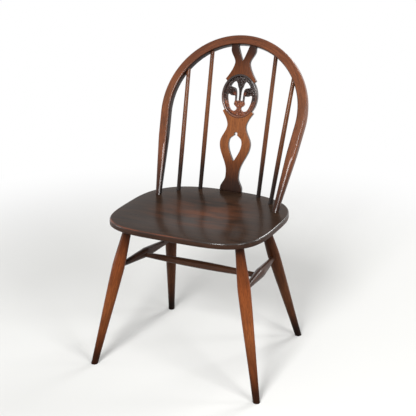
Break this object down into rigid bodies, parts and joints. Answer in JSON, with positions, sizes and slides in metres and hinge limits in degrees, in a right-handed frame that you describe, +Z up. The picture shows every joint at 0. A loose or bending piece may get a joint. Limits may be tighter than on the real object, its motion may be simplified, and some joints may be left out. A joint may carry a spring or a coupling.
{
  "type": "dining chair",
  "caption": "Bow-back wooden dining chair with a dished plank seat, splayed turned legs tied by stretchers, round sticks and a pierced, carved splat.",
  "frame": {"origin": "on the floor, under the middle of the chair", "axes": "+Z up, the chair faces -Y, +X to the right of someone looking along +Y at its front"},
  "size_m": [0.5278, 0.5248, 0.8913],
  "materials": {
    "seat": "dark stained hardwood, satin varnish",
    "leg": "stained hardwood, shaded dark at both ends, satin varnish",
    "stretcher": "dark stained hardwood, satin varnish",
    "bow": "stained bent hardwood, satin varnish",
    "stick": "stained hardwood, satin varnish",
    "splat": "stained hardwood, shaded dark at the foot and in the carving, satin varnish",
    "wedge": "bare pale wood"
  },
  "bodies": {
    "root": {"seat": "seat", "leg_front_left": "leg", "leg_front_right": "leg", "leg_back_left": "leg", "leg_back_right": "leg", "stretcher_left": "stretcher", "stretcher_right": "stretcher", "stretcher_cross": "stretcher", "bow": "bow", "stick_left_outer": "stick", "stick_left_inner": "stick", "stick_right_inner": "stick", "stick_right_outer": "stick", "splat": "splat", "leg_wedges": "wedge", "bow_wedges": "wedge"}
  },
  "joints": []
}
